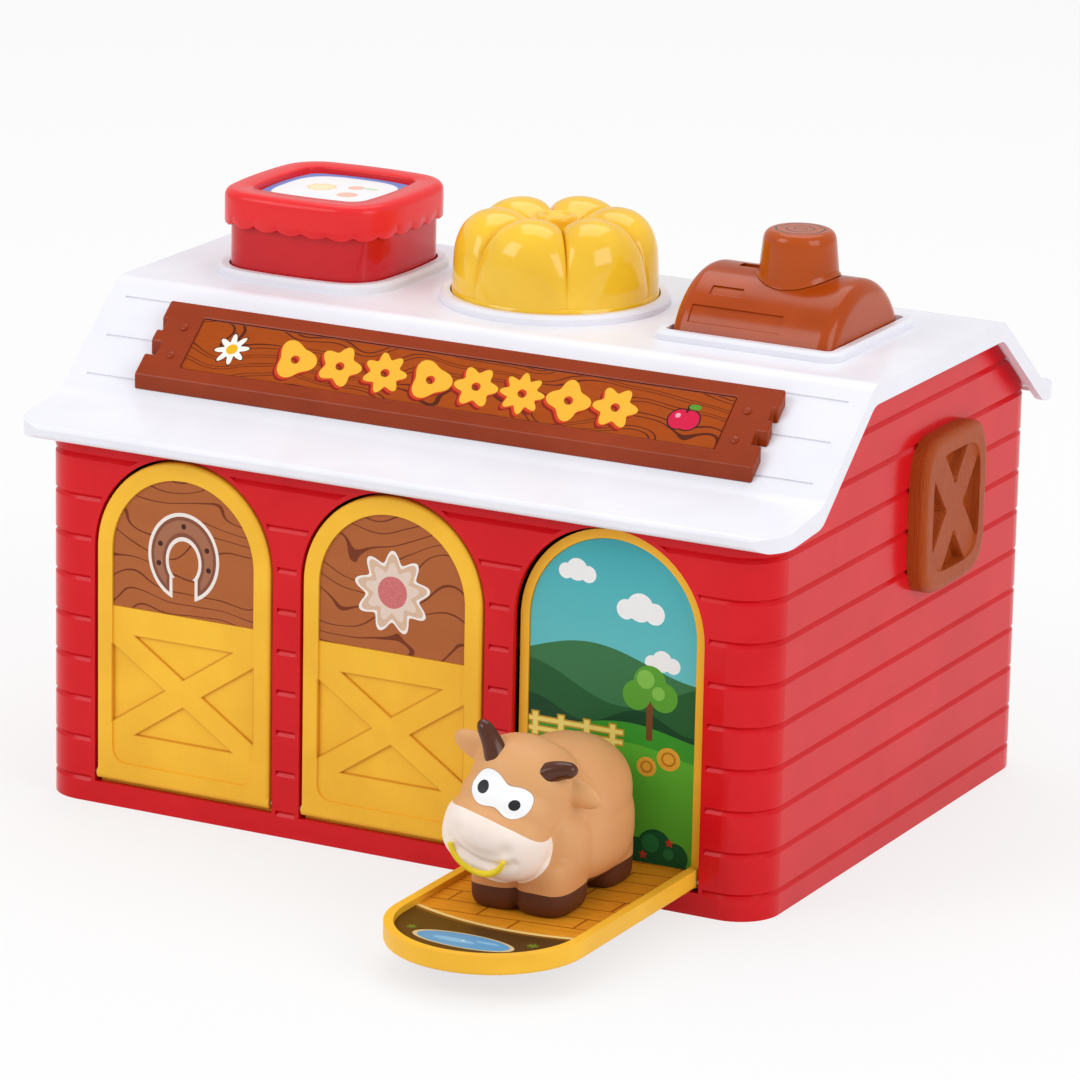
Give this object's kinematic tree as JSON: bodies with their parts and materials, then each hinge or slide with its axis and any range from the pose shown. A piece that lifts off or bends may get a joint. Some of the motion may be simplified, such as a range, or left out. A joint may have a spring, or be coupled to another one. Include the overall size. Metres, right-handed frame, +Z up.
{
  "type": "farm activity toy",
  "caption": "Toddler's barn toy: press, twist or slide a control on the roof and an arched door drops open to bring out an animal.",
  "frame": {"origin": "centre of the barn's base, on the surface that it stands on", "axes": "+Z up, +X to the right seen from the front, -Y out of the doors"},
  "size_m": [0.273, 0.3122, 0.194],
  "materials": {
    "barn_red": "glossy moulded plastic",
    "roof_white": "glossy moulded plastic",
    "door_yellow": "satin moulded plastic",
    "pumpkin_yellow": "glossy moulded plastic",
    "wood_brown": "satin moulded plastic with a grain texture",
    "jar_red": "glossy moulded plastic",
    "lid_red": "glossy moulded plastic",
    "stump_brown": "satin moulded plastic",
    "printed_board": "printed film, satin",
    "printed_ground": "printed film, glossy",
    "printed_view": "printed film, satin",
    "printed_sign": "printed film, satin",
    "printed_lid": "printed film, glossy",
    "horse_vinyl": "soft matt vinyl with painted features",
    "sheep_vinyl": "soft matt vinyl with painted features",
    "bull_vinyl": "soft matt vinyl with painted features",
    "inner_grey": "plain moulded plastic",
    "steel": "plated"
  },
  "bodies": {
    "housing": {"barn_shell": "barn_red", "base_plate": "barn_red", "roof_shell": "roof_white", "sign_board": "wood_brown", "sign_label": "printed_sign", "window_left": "wood_brown", "window_right": "wood_brown", "log_cover": "wood_brown", "control_deck": "inner_grey", "hinge_rod": "steel", "latch_rod": "steel", "deck_screws": "steel", "base_screws": "steel", "door_spring_left": "steel", "door_spring_middle": "steel", "door_spring_right": "steel", "jar_spring": "steel"},
    "door_left": {"flap_left": "door_yellow", "door_label_left": "printed_board", "floor_label_left": "printed_ground", "backdrop_label_left": "printed_view", "horse_figure": "horse_vinyl"},
    "door_middle": {"flap_middle": "door_yellow", "door_label_middle": "printed_board", "floor_label_middle": "printed_ground", "backdrop_label_middle": "printed_view", "sheep_figure": "sheep_vinyl"},
    "door_right": {"flap_right": "door_yellow", "door_label_right": "printed_board", "floor_label_right": "printed_ground", "backdrop_label_right": "printed_view", "bull_figure": "bull_vinyl"},
    "jar": {"jar_body": "jar_red", "jar_lid": "lid_red", "jar_label": "printed_lid"},
    "pumpkin": {"pumpkin_knob": "pumpkin_yellow", "pumpkin_shaft": "inner_grey", "pumpkin_clip": "steel"},
    "stump": {"stump_knob": "stump_brown", "stump_carriage": "inner_grey"},
    "latch_left": {"latch_left": "inner_grey"},
    "latch_middle": {"latch_middle": "inner_grey"},
    "latch_right": {"latch_right": "inner_grey"}
  },
  "joints": [
    {"name": "door_left_hinge", "type": "hinge", "parent": "housing", "child": "door_left", "pos_m": [-0.076, -0.0985, 0.0105], "axis": [1, 0, 0], "range_deg": [0, 90]},
    {"name": "door_middle_hinge", "type": "hinge", "parent": "housing", "child": "door_middle", "pos_m": [0, -0.0985, 0.0105], "axis": [1, 0, 0], "range_deg": [0, 90]},
    {"name": "door_right_hinge", "type": "hinge", "parent": "housing", "child": "door_right", "pos_m": [0.076, -0.0985, 0.0105], "axis": [1, 0, 0], "range_deg": [-90, 0]},
    {"name": "jar_press", "type": "slide", "parent": "housing", "child": "jar", "axis": [0, 0, -1], "range_m": [0, 0.006], "stiffness_N_per_m": 300, "springref_m": -0.004, "deforming": ["jar_spring"]},
    {"name": "pumpkin_twist", "type": "hinge", "parent": "housing", "child": "pumpkin", "pos_m": [0, 0.0065, 0.16], "axis": [0, 0, 1], "range_deg": [0, 35], "stiffness_Nm_per_rad": 0.05, "springref_deg": -11.46},
    {"name": "stump_slide", "type": "slide", "parent": "housing", "child": "stump", "axis": [-1, 0, 0], "range_m": [0, 0.016], "stiffness_N_per_m": 60, "springref_m": -0.005},
    {"name": "latch_left_pivot", "type": "hinge", "parent": "housing", "child": "latch_left", "pos_m": [-0.0825, 0.0148, 0.128], "axis": [1, 0, 0], "range_deg": [0, 3.4]},
    {"name": "latch_middle_pivot", "type": "hinge", "parent": "housing", "child": "latch_middle", "pos_m": [0, 0.0148, 0.128], "axis": [1, 0, 0], "range_deg": [0, 3.4]},
    {"name": "latch_right_pivot", "type": "hinge", "parent": "housing", "child": "latch_right", "pos_m": [0.0825, 0.0148, 0.128], "axis": [1, 0, 0], "range_deg": [0, 3.4]}
  ],
  "couplings": [
    {"joint": "latch_left_pivot", "follows": "jar_press", "rad_per_m": 9.6047},
    {"joint": "latch_middle_pivot", "follows": "pumpkin_twist", "ratio": 0.09434},
    {"joint": "latch_right_pivot", "follows": "stump_slide", "rad_per_m": 3.6018}
  ]
}
